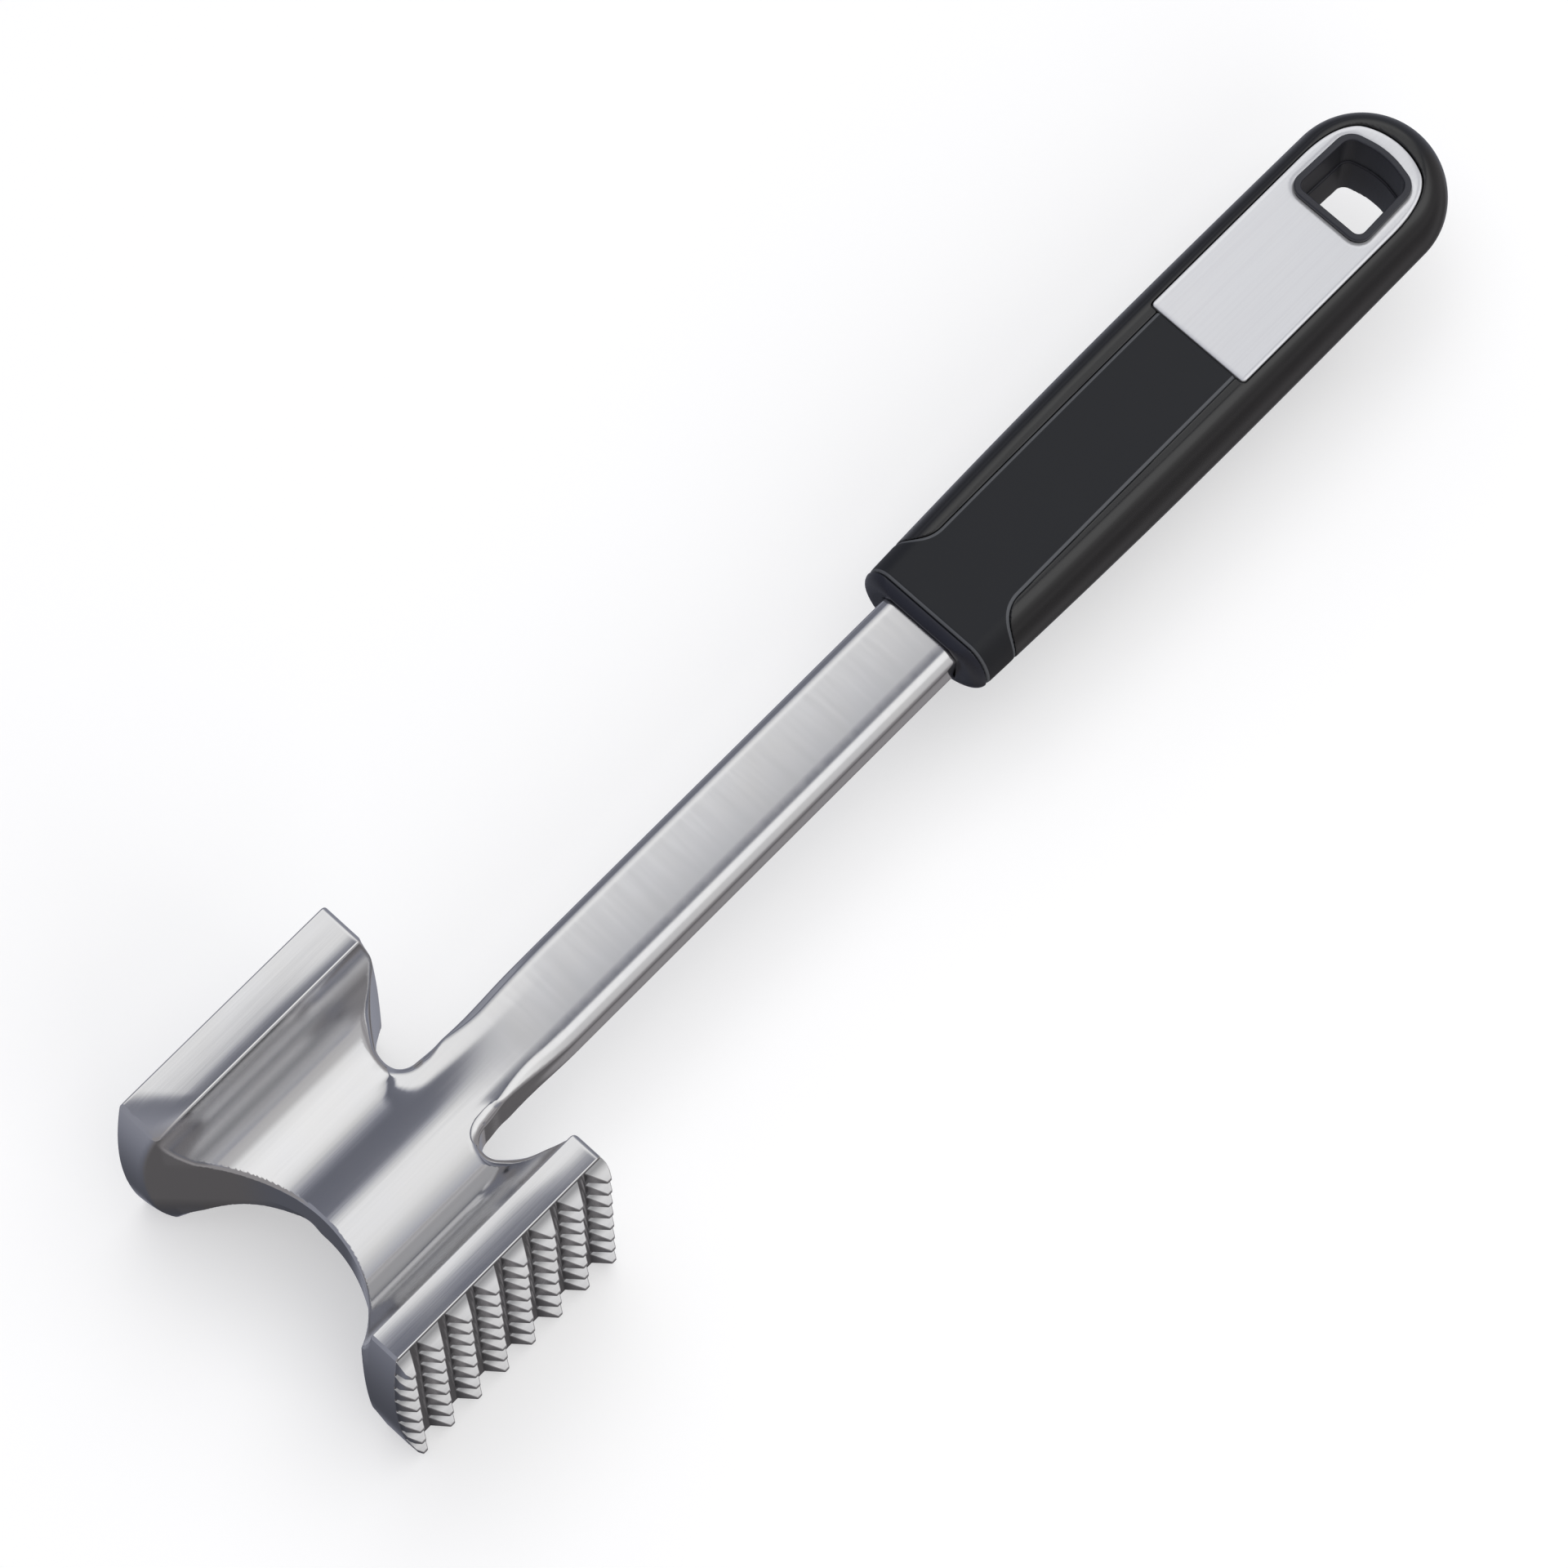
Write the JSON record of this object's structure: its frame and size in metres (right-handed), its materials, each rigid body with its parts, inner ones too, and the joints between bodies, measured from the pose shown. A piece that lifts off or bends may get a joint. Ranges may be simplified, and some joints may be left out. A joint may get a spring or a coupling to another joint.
{
  "type": "meat mallet",
  "caption": "Hand meat mallet: cast aluminium head with a smooth and a toothed face on a flat shank, in a black two-part moulded handle with a steel inlay plate and a hang hole.",
  "frame": {"origin": "centre of the smooth striking face, on the hammer axis", "axes": "+Y out of the smooth striking face, +X along the shank towards the butt of the handle, +Z towards the front of the handle, where the inlay plate is"},
  "size_m": [0.2894, 0.0663, 0.052],
  "materials": {
    "cast_metal": "polished and brushed casting",
    "collar_plastic": "semi-gloss blue-black",
    "core_plastic": "fine matt slate black",
    "grip_rubber": "soft-touch black",
    "plate_steel": "brushed along its length",
    "liner_plastic": "satin dark grey"
  },
  "bodies": {
    "root": {"head_and_shank": "cast_metal", "front_collar": "collar_plastic", "handle_core": "core_plastic", "soft_grip": "grip_rubber", "inlay_plate": "plate_steel", "hang_hole_liner": "liner_plastic"}
  },
  "joints": []
}
